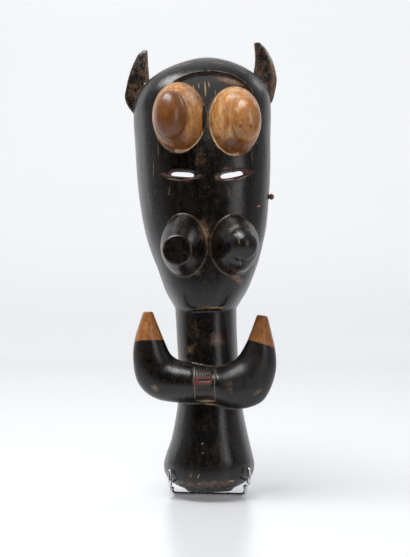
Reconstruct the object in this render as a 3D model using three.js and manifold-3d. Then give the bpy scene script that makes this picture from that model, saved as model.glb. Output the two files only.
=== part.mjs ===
// A carved wooden mask: hooded head with ears, eye slits and four projecting knobs, on a neck with
// two curled-up arms and a flared base. It stands leaning back in a stand of bent chromed wire.
// Millimetres, +Z up, the face towards -Y. The origin is on the floor, under the middle of it all.
import * as THREE from 'three';
import { mergeVertices } from 'three/addons/utils/BufferGeometryUtils.js';
import Module from 'manifold-3d';

const wasm = await Module();
wasm.setup();

const { degToRad, clamp } = THREE.MathUtils;

// How the mask stands. Its own frame has x to the viewer's right, y = 0 on its flat back and z up
// its length, and MASK_FOOT is where that frame's origin comes in the room.
const LEAN = degToRad(9);
const ROLL = degToRad(1.3);
const MASK_FOOT = new THREE.Vector3(11, -18.5, 1.6);

// Head, below the dome: height, half width, depth from back to front, sideways shift.
const HEAD = [
  [203, 28, 54, -0.5],
  [215, 35.2, 69, 0.2],
  [223, 39.6, 72.5, 0.8],
  [240, 49.4, 77, 1.6],
  [267, 59.5, 80.8, 2.6],
  [289, 66.8, 83.5, 1.9],
  [311, 72.6, 85.4, 1.3],
  [338, 76.7, 87, 0.6],
  [387, 81.1, 88, 0.2],
  [421, 82.2, 87, 0],
  [455, 83.8, 83, 0.2],
];
const DOME_START = 455;
const DOME_RISE = 69;
const DOME_SHIFT = 5.2;
const CREST_DEPTH = 20;
const HEAD_SQUARENESS = 2.8;
const WALL_SIDE = 11;
const WALL_FRONT = 12;
const CAVITY = { from: 238, to: 510, rounding: 40 };

// The face sits a little to the viewer's right of the outline, as far as it stands forward.
const FACE_TURN = 0.057;
const FACE_TURN_FROM = 215;
const FACE_TURN_RUN = 70;

// Sunk field under the brow: half an ellipse on top, its floor running out level lower down.
const BROW = { x: 8.5, z: 452, halfWidth: 56.5, rise: 42.5, sunk: 5.5, fadeFrom: 385, fadeTo: 440 };

// Neck and base in one: height, half width, depth, sideways shift.
const NECK = [
  [31, 54.1, 75, -0.3],
  [42, 51.8, 74, -0.2],
  [61, 46.5, 71, 1.2],
  [84, 41.5, 66.5, 1.8],
  [104, 38.6, 63.5, 2.1],
  [130, 36.7, 61, 1.8],
  [160, 36.1, 60.5, 1.2],
  [190, 36.5, 61, 0.4],
  [222, 37, 62, 0],
];
const TOE_ROUND = 2.3;
const TOE_DEPTH = 60;
const NECK_SQUARENESS = 2.7;

// Along a knob's flank: share of the way forward, share of the way from foot size to end size. The
// upper knobs have a crease round the end, the lower ones run smoothly into it.
const CREASED = [[0, 0], [0.2, 0.07], [0.4, 0.23], [0.55, 0.45], [0.67, 0.72], [0.77, 0.94], [1, 1]];
const PLAIN = [[0, 0], [0.2, 0.06], [0.45, 0.28], [0.7, 0.6], [0.88, 0.86], [1, 1]];

// Knobs: middle and half size of the foot and of the end, how far forward the end is, its dome.
const KNOBS = [
  {
    foot: [-26.2, 437.4], footHalf: [30.4, 42], end: [-35.9, 434], endHalf: [18, 27.5],
    front: 117, dome: 12, flank: CREASED,
  },
  {
    foot: [37.9, 431.4], footHalf: [29, 41.6], end: [50.8, 427.4], endHalf: [17.2, 26.3],
    front: 116, dome: 13, flank: CREASED,
  },
  {
    foot: [-24.2, 287], footHalf: [26, 36], end: [-31, 275.5], endHalf: [17.4, 18],
    front: 120, dome: 1.2, flank: PLAIN,
  },
  {
    foot: [34, 285.5], footHalf: [26.8, 35], end: [43.6, 281], endHalf: [16.4, 18],
    front: 114, dome: 12, flank: PLAIN,
  },
];
const KNOB_ROOT = 62;
const KNOB_FLANK_START = 82;

// Eye slits: middle, half length, half height, upward tilt to the viewer's right.
const SLITS = [
  { x: -24.8, z: 370, half: 14.3, rise: 3.3, tilt: degToRad(-6) },
  { x: 37, z: 369, half: 14.6, rise: 3.5, tilt: degToRad(11) },
];
const SLIT_RIM = 1.3;
const SLIT_RIM_DEPTH = 8;

// Ears: height, outer edge, inner edge, half thickness. They stand at the back of the head.
const EAR_LEFT = [
  [454, -82, -58, 8],
  [468, -90.3, -58, 8.5],
  [478, -93.9, -58, 8.5],
  [492, -91.6, -61, 8],
  [512, -86, -63, 6.8],
  [527, -79.4, -63.6, 5],
  [534, -75.4, -63.8, 4],
  [538, -70.5, -64.2, 3],
];
const EAR_RIGHT = [
  [460, 80.8, 58, 8],
  [470, 87.4, 58, 8.5],
  [483, 91.2, 60, 8.5],
  [496, 93.4, 62, 8.2],
  [506, 92.6, 64.4, 7.5],
  [519, 89.7, 66.6, 6.4],
  [530, 85, 66.9, 5.3],
  [538, 80, 66.5, 4.3],
  [544.3, 74.5, 66.3, 3],
];
const EAR_BACK_GAP = 3;

// Arms, from the left tip round to the right one: outer edge x and z, inner edge x and z, then how
// far forward the middle of the bar lies and half its depth there.
const ARMS = [
  [-73.6, 210.9, -62.2, 210.8, 66, 6],
  [-83.8, 180.4, -51.4, 181.5, 62, 16],
  [-86.6, 155, -44, 163.5, 60, 20],
  [-81.5, 128, -38.5, 157, 59, 22.5],
  [-64, 110.8, -33, 154, 60, 24],
  [-37, 104, -22, 151, 62, 24.5],
  [2, 103, 1, 144.8, 63, 24.5],
  [24, 96.8, 17, 144.6, 62, 25],
  [46, 96, 29, 150.2, 60, 25],
  [66, 106.3, 36, 156, 59, 24],
  [79, 134, 42, 164.5, 60, 21.5],
  [79.7, 163.3, 49.5, 179, 63, 17],
  [71.6, 202.1, 59.3, 203.8, 66, 6.2],
];
const PANEL = { left: -17, right: 10.5, bottom: 98, top: 152, sunk: 1.8 };

// Peg through the right rim, seen from the front as a small brown end.
const PEG = { y: -30, z: 349, hole: 3.5, shaft: 3.1, head: 4.7, inner: 59, rim: 80, outer: 85 };

// Stand: round wire bent cold. The arms of the rest run under the base, parallel to its depth.
const WIRE = 2;
const WIRE_SIDES = 8;
const BEND = 6;
const REST = {
  middle: -0.4, armHalf: 46, armHeight: 9, hookRise: 17.9,
  hookLeft: -56, hookRight: -60, rear: 8, behind: 2.9,
  waistHalf: 23, waistHeight: 92, topHalf: 17, topHeight: 196,
};
const FOOT = { x: 9.2, y: -43, half: 43.6, left: 10.2, right: 13.8, turn: degToRad(-5) };
const PROP = { x: 8, y: 96, topHalf: 17.2, footHalf: 52, topY: 17.7, topZ: 186 };

function solidOf(geometry) {
  geometry.deleteAttribute('normal');
  geometry.deleteAttribute('uv');
  const merged = mergeVertices(geometry, 1e-4);
  return new wasm.Manifold(new wasm.Mesh({
    numProp: 3,
    vertProperties: new Float32Array(merged.attributes.position.array),
    triVerts: new Uint32Array(merged.index.array),
  }));
}

function geometryOf(solid) {
  const mesh = solid.getMesh();
  const geometry = new THREE.BufferGeometry();
  geometry.setAttribute('position', new THREE.BufferAttribute(mesh.vertProperties, 3));
  geometry.setIndex(new THREE.BufferAttribute(mesh.triVerts, 1));
  geometry.computeVertexNormals();
  return geometry;
}

// A closed skin over rings of equal count. Each ring turns right-handed about the way to the next.
function loft(rings) {
  const count = rings[0].length;
  const last = (rings.length - 1) * count;
  const index = [];
  for (let k = 0; k < rings.length - 1; k += 1) {
    for (let i = 0; i < count; i += 1) {
      const j = (i + 1) % count;
      const a = k * count + i;
      const b = k * count + j;
      index.push(a, b, b + count, a, b + count, a + count);
    }
  }
  for (let i = 1; i < count - 1; i += 1) {
    index.push(0, i + 1, i, last, last + i, last + i + 1);
  }
  const geometry = new THREE.BufferGeometry().setFromPoints(rings.flat());
  geometry.setIndex(index);
  return solidOf(geometry);
}

// Reads a table whose first column rises and gives its other columns smoothly in between.
function smooth(table) {
  const columns = table[0].length - 1;
  const cubic = new THREE.CubicInterpolant(
    table.map((row) => row[0]),
    table.flatMap((row) => row.slice(1)),
    columns,
  );
  return (key) => Array.from(cubic.evaluate(key));
}

const signedPower = (value, power) => Math.sign(value) * Math.abs(value) ** power;

// A level section with a flat back on y = back and a squared-off round front.
function frontRing(z, half, depth, shift, squareness, back = 0, count = 26) {
  const lead = FACE_TURN * clamp((z - FACE_TURN_FROM) / FACE_TURN_RUN, 0, 1);
  return Array.from({ length: count + 1 }, (_, i) => {
    const angle = Math.PI * (1 + i / count);
    const y = depth * signedPower(Math.sin(angle), 2 / squareness);
    const x = shift + half * signedPower(Math.cos(angle), 2 / squareness);
    return new THREE.Vector3(x - y * lead, y + back, z);
  });
}

const headBelow = smooth(HEAD);

// Half width, depth and shift of the head at a height. The dome is a pointed arch from the front.
function headAt(z) {
  if (z <= DOME_START) {
    return headBelow(z);
  }
  const t = Math.min((z - DOME_START) / DOME_RISE, 1);
  const [half, depth, shift] = headBelow(DOME_START);
  return [
    half * (1 - t ** 2.6) ** (1 / 1.48),
    CREST_DEPTH + (depth - CREST_DEPTH) * (1 - t ** 2.4) ** (1 / 1.5),
    shift + DOME_SHIFT * t ** 2,
  ];
}

function headHeights(from, to, step) {
  const side = Math.round((DOME_START - from) / step);
  const heights = Array.from({ length: side }, (_, i) => from + ((DOME_START - from) * i) / side);
  const domeSteps = 8;
  const reach = Math.asin((to - DOME_START) / DOME_RISE);
  for (let i = 0; i <= domeSteps; i += 1) {
    heights.push(DOME_START + DOME_RISE * Math.sin((reach * i) / domeSteps));
  }
  return heights;
}

function headSolid(sunk = () => 0) {
  const top = DOME_START + DOME_RISE * 0.998;
  return loft(headHeights(HEAD[0][0], top, 17).map((z) => {
    const [half, depth, shift] = headAt(z);
    return frontRing(z, half, depth - sunk(z), shift, HEAD_SQUARENESS);
  }));
}

// The hollow of the head, open at the back and rounded off towards the chin.
function cavitySolid() {
  const behind = 4;
  return loft(headHeights(CAVITY.from, CAVITY.to, 24).map((z) => {
    const [half, depth, shift] = headAt(z);
    const t = clamp((z - CAVITY.from) / CAVITY.rounding, 0, 1);
    const open = 0.45 + 0.55 * Math.sqrt(1 - (1 - t) ** 2);
    return frontRing(
      z, (half - WALL_SIDE) * open, (depth - WALL_FRONT) * open + behind, shift, HEAD_SQUARENESS, behind, 18,
    );
  }));
}

// The neck swells to the base, whose lower edge is a round toe seen from the front.
function neckSolid() {
  const neckAbove = smooth(NECK);
  const [toeTop, half, depth, shift] = NECK[0];
  const rings = [];
  const toeSteps = 6;
  const flat = 2.2;
  for (let i = 0; i < toeSteps; i += 1) {
    const angle = (Math.PI / 2) * ((i + flat) / (toeSteps + flat));
    const z = i === 0 ? 0 : toeTop * (1 - Math.cos(angle) ** (2 / TOE_ROUND));
    const t = Math.sin(angle) ** (2 / TOE_ROUND);
    rings.push(frontRing(z, half * t, TOE_DEPTH + (depth - TOE_DEPTH) * t, shift, NECK_SQUARENESS));
  }
  const [neckTop] = NECK[NECK.length - 1];
  const steps = 10;
  for (let i = 0; i <= steps; i += 1) {
    const z = toeTop + ((neckTop - toeTop) * i) / steps;
    rings.push(frontRing(z, ...neckAbove(z), NECK_SQUARENESS));
  }
  return loft(rings);
}

// An oval ring in an upright plane, right-handed about the way to the front.
function uprightRing([x, z], [halfX, halfZ], y, count = 20) {
  return Array.from({ length: count }, (_, i) => {
    const angle = (2 * Math.PI * i) / count;
    return new THREE.Vector3(x + halfX * Math.cos(angle), y, z + halfZ * Math.sin(angle));
  });
}

const mix = (a, b, t) => a.map((value, i) => value + (b[i] - value) * t);

function knobSolid({ foot, footHalf, end, endHalf, front, dome, flank }) {
  const rings = [uprightRing(foot, footHalf, -KNOB_ROOT)];
  for (const [way, narrowing] of flank) {
    const y = -(KNOB_FLANK_START + (front - KNOB_FLANK_START) * way);
    rings.push(uprightRing(mix(foot, end, way), mix(footHalf, endHalf, narrowing), y));
  }
  for (const angle of [30, 58, 80].map(degToRad)) {
    const left = dome < 2 ? 1 - 0.1 * Math.sin(angle) : Math.cos(angle);
    rings.push(uprightRing(end, endHalf.map((r) => r * left), -(front + dome * Math.sin(angle))));
  }
  return loft(rings);
}

function earSolid(table) {
  const at = smooth(table);
  const low = table[0][0];
  const high = table[table.length - 1][0];
  const steps = 9;
  const count = 10;
  return loft(Array.from({ length: steps + 1 }, (_, k) => {
    const z = low + (high - low) * (k / steps);
    const [outer, inner, thick] = at(z);
    const middle = -(EAR_BACK_GAP + table[0][3]);
    return Array.from({ length: count }, (_, i) => {
      const angle = (2 * Math.PI * i) / count;
      const x = (outer + inner) / 2 + (Math.abs(outer - inner) / 2) * Math.cos(angle);
      return new THREE.Vector3(x, middle + thick * Math.sin(angle), z);
    });
  }));
}

// Both arms in one curved bar. Each ring spans from the outer edge to the inner one and from back
// to front. thinner takes an even skin off the bar.
function armsSolid(thinner = 0) {
  const at = smooth(ARMS.map((row, i) => [i / (ARMS.length - 1), ...row]));
  const forward = new THREE.Vector3(0, -1, 0);
  const steps = 30;
  const count = 16;
  return loft(Array.from({ length: steps + 1 }, (_, k) => {
    const [outerX, outerZ, innerX, innerZ, lead, deep] = at(k / steps);
    const outer = new THREE.Vector3(outerX, -lead, outerZ);
    const across = new THREE.Vector3(innerX, -lead, innerZ).sub(outer).multiplyScalar(0.5);
    const centre = outer.clone().add(across);
    across.setLength(across.length() - thinner);
    return Array.from({ length: count }, (_ignored, i) => {
      const angle = (2 * Math.PI * i) / count;
      return centre.clone()
        .addScaledVector(across, Math.cos(angle))
        .addScaledVector(forward, (deep - thinner) * Math.sin(angle));
    });
  }));
}

function boxSolid(left, right, back, front, bottom, top) {
  const geometry = new THREE.BoxGeometry(right - left, Math.abs(back - front), top - bottom);
  geometry.translate((left + right) / 2, (back + front) / 2, (bottom + top) / 2);
  return solidOf(geometry);
}

// What is carved away under the brow: an arched prism in front of the head's sunken floor.
function browCut() {
  const { x, z, halfWidth, rise, sunk, fadeFrom, fadeTo } = BROW;
  const outline = new THREE.Shape();
  outline.moveTo(x - halfWidth, fadeFrom - z);
  outline.lineTo(x + halfWidth, fadeFrom - z);
  outline.lineTo(x + halfWidth, 0);
  outline.absellipse(x, 0, halfWidth, rise, 0, Math.PI, false);
  const prism = new THREE.ExtrudeGeometry(outline, { depth: 80, bevelEnabled: false, curveSegments: 18 });
  prism.rotateX(Math.PI / 2);
  prism.translate(0, -30, z);
  return solidOf(prism).subtract(
    headSolid((height) => sunk * THREE.MathUtils.smoothstep(height, fadeFrom, fadeTo)),
  );
}

// A slit straight through the wall with a wider carved rim in front.
function slitSolid({ x, z, half, rise, tilt }) {
  const [, depth] = headAt(z);
  const rows = [
    [depth - WALL_FRONT - 12, 0.94],
    [depth - SLIT_RIM_DEPTH, 1],
    [depth + 1, SLIT_RIM],
  ];
  const count = 12;
  return loft(rows.map(([forward, share]) => Array.from({ length: count }, (_, i) => {
    const angle = (2 * Math.PI * i) / count;
    const along = half * share * signedPower(Math.cos(angle), 0.7);
    const up = rise * share * signedPower(Math.sin(angle), 0.7);
    return new THREE.Vector3(
      x + along * Math.cos(tilt) - up * Math.sin(tilt),
      -forward,
      z + along * Math.sin(tilt) + up * Math.cos(tilt),
    );
  })));
}

// A round bar along x through the right rim, given as rows of position and radius.
function rimBar(rows, count = 12) {
  return loft(rows.map(([x, radius]) => Array.from({ length: count }, (_, i) => {
    const angle = (2 * Math.PI * i) / count;
    return new THREE.Vector3(x, PEG.y + radius * Math.cos(angle), PEG.z + radius * Math.sin(angle));
  })));
}

function maskSolid() {
  let mask = headSolid().subtract(browCut()).add(neckSolid()).add(armsSolid());
  for (const knob of KNOBS) {
    mask = mask.add(knobSolid(knob));
  }
  mask = mask.add(earSolid(EAR_LEFT)).add(earSolid(EAR_RIGHT)).subtract(cavitySolid());
  for (const slit of SLITS) {
    mask = mask.subtract(slitSolid(slit));
  }
  const panel = boxSolid(PANEL.left, PANEL.right, -70, -95, PANEL.bottom, PANEL.top);
  return mask
    .subtract(panel.subtract(armsSolid(PANEL.sunk)))
    .subtract(rimBar([[PEG.inner - 4, PEG.hole], [PEG.outer + 6, PEG.hole]]));
}

function pegSolid() {
  const { inner, rim, outer, shaft, head } = PEG;
  const length = outer - rim;
  return rimBar([
    [inner, shaft * 0.8],
    [inner + 2, shaft],
    [rim, shaft],
    [rim + 0.01, head * 0.85],
    [rim + length * 0.3, head],
    [rim + length * 0.75, head * 0.8],
    [outer, head * 0.45],
  ]);
}

// A path given corner by corner, each corner a round bend. Every bend and straight is one station.
class WirePath extends THREE.Curve {
  constructor(corners, bend) {
    super();
    const inner = corners.slice(1, -1).flatMap((corner, i) => {
      const before = corners[i].clone().sub(corner).setLength(bend).add(corner);
      const after = corners[i + 2].clone().sub(corner).setLength(bend).add(corner);
      return new THREE.QuadraticBezierCurve3(before, corner, after).getPoints(4);
    });
    this.stations = [corners[0], ...inner, corners[corners.length - 1]];
  }

  getPoint(t) {
    const place = clamp(t, 0, 1) * (this.stations.length - 1);
    const i = Math.min(Math.floor(place), this.stations.length - 2);
    return this.stations[i].clone().lerp(this.stations[i + 1], place - i);
  }

  getPointAt(u) {
    return this.getPoint(u);
  }

  getTangentAt(u) {
    const i = Math.round(u * (this.stations.length - 1));
    const before = this.stations[Math.max(i - 1, 0)];
    const here = this.stations[i];
    const after = this.stations[Math.min(i + 1, this.stations.length - 1)];
    const into = here.clone().sub(before).normalize();
    const out = after.clone().sub(here).normalize();
    return into.add(out).normalize();
  }

  getSpacedPoints() {
    return this.stations.map((station) => station.clone());
  }
}

// Wire of an even number of flats, one of them turned by the given angle off straight down.
function wireGeometry(corners, turn = 0, bend = BEND) {
  const path = new WirePath(corners, bend);
  const section = new THREE.Shape();
  const corner = WIRE / Math.cos(Math.PI / WIRE_SIDES);
  for (let i = 0; i < WIRE_SIDES; i += 1) {
    const angle = ((i + 0.5) * 2 * Math.PI) / WIRE_SIDES - turn;
    section[i ? 'lineTo' : 'moveTo'](corner * Math.cos(angle), corner * Math.sin(angle));
  }
  return new THREE.ExtrudeGeometry(section, {
    steps: path.stations.length - 1, extrudePath: path, bevelEnabled: false,
  });
}

const WOOD = { color: 0x1c1917, roughness: 0.42, metalness: 0 };
const PEG_WOOD = { color: 0x6b4526, roughness: 0.7, metalness: 0 };
const CHROME = { color: 0xdcdedf, roughness: 0.12, metalness: 1 };

function piece(name, geometry, look) {
  const mesh = new THREE.Mesh(geometry, new THREE.MeshStandardMaterial(look));
  mesh.name = name;
  return mesh;
}

const leaning = new THREE.Group();
leaning.rotation.set(-LEAN, -ROLL, 0, 'XYZ');
leaning.position.copy(MASK_FOOT);
leaning.updateMatrix();
leaning.add(piece('mask', geometryOf(maskSolid()), WOOD));
leaning.add(piece('side_peg', geometryOf(pegSolid()), PEG_WOOD));

// One wire: hook in front of the base, arm under it, loop behind the neck, and the same back again.
function restWire() {
  const r = REST;
  const side = (sign, hook) => [
    [sign * r.armHalf, hook, r.armHeight + r.hookRise],
    [sign * r.armHalf, hook, r.armHeight],
    [sign * r.armHalf, r.rear, r.armHeight],
    [sign * r.waistHalf, r.behind, r.waistHeight],
    [sign * r.topHalf, r.behind, r.topHeight],
  ];
  const corners = [...side(-1, r.hookLeft), ...side(1, r.hookRight).reverse()];
  return wireGeometry(corners.map(([x, y, z]) => new THREE.Vector3(x + r.middle, y, z)));
}
leaning.add(piece('stand_rest', restWire(), CHROME));

// A flat U: the bar lies on the floor, its uprights end just under the arms of the rest.
function footPiece() {
  const { x, y, half, left, right, turn } = FOOT;
  const corners = [[-half, left], [-half, WIRE], [half, WIRE], [half, right]];
  const mesh = piece(
    'stand_foot',
    wireGeometry(corners.map(([across, z]) => new THREE.Vector3(across, 0, z))),
    CHROME,
  );
  mesh.position.set(x, y, 0);
  mesh.rotation.z = turn;
  return mesh;
}

// The prop behind, a U tilted forward against the back of the rest.
function propPiece() {
  const { x, y, topHalf, footHalf, topY, topZ } = PROP;
  const tilt = Math.atan2(y - topY, topZ - WIRE);
  const length = Math.hypot(y - topY, topZ - WIRE);
  const corners = [[-topHalf, length], [-footHalf, 0], [footHalf, 0], [topHalf, length]];
  const mesh = piece(
    'stand_prop',
    wireGeometry(corners.map(([across, z]) => new THREE.Vector3(across, 0, z)), tilt),
    CHROME,
  );
  mesh.position.set(x, y, WIRE);
  mesh.rotation.x = tilt;
  return mesh;
}

const model = new THREE.Group();
model.add(leaning, footPiece(), propPiece());

export default model;
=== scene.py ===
# A blackened wooden mask in its bent wire stand: the carving is worked as one block, in the order
# a carver would take, then stained, rubbed and set in the stand. Metres, +Z up, face towards -Y.
import math

import bpy
import numpy as np
from mathutils import Matrix, Vector, noise


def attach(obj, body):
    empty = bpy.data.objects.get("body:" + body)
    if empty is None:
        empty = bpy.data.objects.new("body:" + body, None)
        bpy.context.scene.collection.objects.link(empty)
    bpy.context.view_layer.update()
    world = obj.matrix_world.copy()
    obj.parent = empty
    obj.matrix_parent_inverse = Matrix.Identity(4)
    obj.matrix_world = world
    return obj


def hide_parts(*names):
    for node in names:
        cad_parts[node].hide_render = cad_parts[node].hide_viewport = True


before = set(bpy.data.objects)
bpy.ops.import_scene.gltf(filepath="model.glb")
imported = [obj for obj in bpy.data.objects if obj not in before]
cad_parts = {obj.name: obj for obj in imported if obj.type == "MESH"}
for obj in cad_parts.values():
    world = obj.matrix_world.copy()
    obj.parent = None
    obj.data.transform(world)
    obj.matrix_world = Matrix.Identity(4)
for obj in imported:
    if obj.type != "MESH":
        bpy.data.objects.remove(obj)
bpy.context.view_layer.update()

# The head. One block of dense light brown hardwood, hewn to a tall hood with a flat back. It is
# drawn up from the chin to a pointed dome. Heights and widths are in the mask's own frame, whose
# z runs up the mask and whose y = 0 is the flat back.
MM = 0.001
CHIN_TO_BROW = [  # height, half width, depth, sideways shift, all mm
    (203, 28, 54, -0.5), (215, 35.2, 69, 0.2), (223, 39.6, 72.5, 0.8), (240, 49.4, 77, 1.6),
    (267, 59.5, 80.8, 2.6), (289, 66.8, 83.5, 1.9), (311, 72.6, 85.4, 1.3), (338, 76.7, 87, 0.6),
    (387, 81.1, 88, 0.2), (421, 82.2, 87, 0), (455, 83.8, 83, 0.2),
]
DOME_START = 455
DOME_RISE = 69
DOME_SHIFT = 5.2
DOME_SIDES = (2.6, 1.48)  # how the width and the depth close over the dome: both 2 is a circle
DOME_FRONT = (2.4, 1.5)
CREST = 0.999  # how much of the rise is drawn, because the dome has no width at its very top
CREST_DEPTH = 20
ROW_STEP = 3
HEAD_SQUARENESS = 2.8
FACE_TURN = 0.057  # the face looks a little to the viewer's right
FACE_TURN_FROM = 215
FACE_TURN_RUN = 70


def between(rows):
    """Reads a table smoothly between the values in its first column."""
    table = np.array(rows, float)
    keys, values = table[:, 0], table[:, 1:]
    slopes = np.diff(values, axis=0) / np.diff(keys)[:, None]
    level = np.zeros_like(slopes[:1])
    tangents = np.vstack([level, (slopes[1:] + slopes[:-1]) / 2, level])

    def at(key):
        i = int(np.clip(np.searchsorted(keys, key) - 1, 0, len(keys) - 2))
        span = keys[i + 1] - keys[i]
        t = (key - keys[i]) / span
        return (
            (2 * t**3 - 3 * t**2 + 1) * values[i]
            + (t**3 - 2 * t**2 + t) * span * tangents[i]
            + (3 * t**2 - 2 * t**3) * values[i + 1]
            + (t**3 - t**2) * span * tangents[i + 1]
        )

    return at


def select_only(*things):
    bpy.ops.object.select_all(action="DESELECT")
    for thing in things:
        thing.select_set(True)
    bpy.context.view_layer.objects.active = things[0]


def turned_outwards(block):
    """Makes every face of a closed block look outwards."""
    select_only(block)
    bpy.ops.object.mode_set(mode="EDIT")
    bpy.ops.mesh.select_all(action="SELECT")
    bpy.ops.mesh.normals_make_consistent(inside=False)
    bpy.ops.object.mode_set(mode="OBJECT")
    return block


def drawn_up(name, outline, rows):
    """A closed block: the outline, in units of the half sizes, is extruded from row to row.
    Each row is (middle, half sizes), in mm."""
    bpy.ops.object.select_all(action="DESELECT")
    bpy.ops.mesh.primitive_circle_add(vertices=len(outline), radius=1, fill_type="NGON")
    block = bpy.context.object
    block.name = name
    middle, half = (Vector(v) * MM for v in rows[0])
    for vertex, place in zip(block.data.vertices, outline):
        vertex.co = middle + half * Vector(place)
    bpy.ops.object.mode_set(mode="EDIT")
    bpy.ops.mesh.select_all(action="SELECT")
    for new_middle, new_half in ((Vector(a) * MM, Vector(b) * MM) for a, b in rows[1:]):
        bpy.ops.mesh.extrude_region_move(TRANSFORM_OT_translate={"value": new_middle - middle})
        ratio = [new / old for new, old in zip(new_half, half)]
        bpy.ops.transform.resize(value=ratio, center_override=new_middle)
        middle, half = new_middle, new_half
    bpy.ops.object.mode_set(mode="OBJECT")
    return turned_outwards(block)


def flat_backed(squareness, front=72, back=24):
    """A level outline with a flat back on y = 0 and a squared-off round front."""
    points = []
    for i in range(front + 1):
        angle = math.pi * (1 + i / front)
        x, y = math.cos(angle), math.sin(angle)
        points.append((math.copysign(abs(x) ** (2 / squareness), x), -abs(y) ** (2 / squareness), 0))
    return points + [(1 - 2 * i / back, 0, 0) for i in range(1, back)]


chin_to_brow = between(CHIN_TO_BROW)


def closing(t, powers):
    """How much of a width is left at a share of the way up the dome."""
    return (1 - t ** powers[0]) ** (1 / powers[1])


def head_at(z):
    """Half width, depth and shift of the head at a height."""
    half, depth, shift = chin_to_brow(min(z, DOME_START))
    if z <= DOME_START:
        return half, depth, shift
    t = min((z - DOME_START) / DOME_RISE, 1)
    return (
        half * closing(t, DOME_SIDES),
        CREST_DEPTH + (depth - CREST_DEPTH) * closing(t, DOME_FRONT),
        shift + DOME_SHIFT * t**2,
    )


def head_heights(low, high, dome_steps=30):
    """The heights of the head's rows, closer together where the dome turns over."""
    side = np.arange(low, DOME_START, ROW_STEP)
    reach = math.asin((high - DOME_START) / DOME_RISE)
    dome = DOME_START + DOME_RISE * np.sin(np.linspace(0, reach, dome_steps))
    return [*side, *dome]


def turned_face(block):
    """Leans the front to the viewer's right, the further forward the more."""
    for vertex in block.data.vertices:
        rise = (vertex.co.z / MM - FACE_TURN_FROM) / FACE_TURN_RUN
        vertex.co.x -= vertex.co.y * FACE_TURN * min(max(rise, 0), 1)
    return block


def head_block(name, sunk=lambda z: 0):
    """The whole head, or one whose front lies further back by what sunk gives for a height."""
    rows = []
    for z in head_heights(CHIN_TO_BROW[0][0], DOME_START + DOME_RISE * CREST):
        half, depth, shift = head_at(z)
        rows.append(((shift, 0, z), (half, depth - sunk(z), 1)))
    return turned_face(drawn_up(name, flat_backed(HEAD_SQUARENESS), rows))


mask = head_block("mask_wood")


# The brow. The field under the hood is cut back behind an arched edge, and its floor runs out
# level again above the eyes. The edge is left crisp, and the finish paints its corners pale: rubbed
# wear, and partly a painted highlight.
BROW = {"x": 8.5, "z": 452, "half_width": 56.5, "rise": 42.5, "sunk": 5.5, "fade": (385, 440)}
BROW_LEGS = 1.6  # how far the arch runs straight down, in units of its rise
BROW_TOOL = {"behind": 30, "before": 110}


def modified(block, kind, **settings):
    """Adds a modifier, sets it up and applies it."""
    select_only(block)
    bpy.ops.object.modifier_add(type=kind)
    modifier = block.modifiers[-1]
    for key, value in settings.items():
        setattr(modifier, key, value)
    bpy.ops.object.modifier_apply(modifier=modifier.name)


def carve(block, tool, operation="DIFFERENCE"):
    """Cuts the tool's shape from the block, or adds it, and clears the tool away."""
    modified(block, "BOOLEAN", object=tool, operation=operation, solver="MANIFOLD")
    bpy.data.objects.remove(tool)


def brow_sunk(z):
    """How far the floor under the hood lies back at a height."""
    low, high = BROW["fade"]
    t = min(max((z - low) / (high - low), 0), 1)
    return BROW["sunk"] * t * t * (3 - 2 * t)


arch = [(1, 0, -BROW_LEGS), (-1, 0, -BROW_LEGS)] + [
    (-math.cos(a), 0, math.sin(a)) for a in np.linspace(0, math.pi, 60)
]
brow_tool = drawn_up("brow", arch, [
    ((BROW["x"], -BROW_TOOL[end], BROW["z"]), (BROW["half_width"], 1, BROW["rise"]))
    for end in ("behind", "before")
])
carve(brow_tool, head_block("sunken_head", brow_sunk))
carve(mask, brow_tool)


# The neck and the base. The neck is part of the same block. It swells to a wide foot whose lower
# edge is a round toe seen from the front.
NECK = [  # height, half width, depth, sideways shift
    (31, 54.1, 75, -0.3), (42, 51.8, 74, -0.2), (61, 46.5, 71, 1.2), (84, 41.5, 66.5, 1.8),
    (104, 38.6, 63.5, 2.1), (130, 36.7, 61, 1.8), (160, 36.1, 60.5, 1.2), (190, 36.5, 61, 0.4),
    (222, 37, 62, 0),
]
TOE_ROUND = 2.3
TOE_ROWS = np.radians(np.linspace(26, 84, 14))  # angles up the round of the toe
TOE_DEPTH = 60
NECK_SQUARENESS = 2.7

neck_at = between(NECK)
toe_top, toe_half, toe_depth, toe_shift = NECK[0]
rows = []
for angle in TOE_ROWS:
    t = math.sin(angle) ** (2 / TOE_ROUND)
    z = 0 if not rows else toe_top * (1 - math.cos(angle) ** (2 / TOE_ROUND))
    rows.append(((toe_shift, 0, z), (toe_half * t, TOE_DEPTH + (toe_depth - TOE_DEPTH) * t, 1)))
for z in np.arange(toe_top, NECK[-1][0], ROW_STEP):
    half, depth, shift = neck_at(z)
    rows.append(((shift, 0, z), (half, depth, 1)))
carve(mask, drawn_up("neck", flat_backed(NECK_SQUARENESS), rows), "UNION")


# The arms. A thick bar across the front of the neck, its ends curled up to blunt tips. It was
# left in the block in front of the neck and rounded off with a knife.
ARMS = [  # outer edge x and z, inner edge x and z, how far forward the middle lies, half depth
    (-73.6, 210.9, -62.2, 210.8, 66, 6), (-83.8, 180.4, -51.4, 181.5, 62, 16),
    (-86.6, 155, -44, 163.5, 60, 20), (-81.5, 128, -38.5, 157, 59, 22.5),
    (-64, 110.8, -33, 154, 60, 24), (-37, 104, -22, 151, 62, 24.5),
    (2, 103, 1, 144.8, 63, 24.5), (24, 96.8, 17, 144.6, 62, 25), (46, 96, 29, 150.2, 60, 25),
    (66, 106.3, 36, 156, 59, 24), (79, 134, 42, 164.5, 60, 21.5),
    (79.7, 163.3, 49.5, 179, 63, 17), (71.6, 202.1, 59.3, 203.8, 66, 6.2),
]
ARMS_AROUND = 64
ARMS_STEPS = 96


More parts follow.
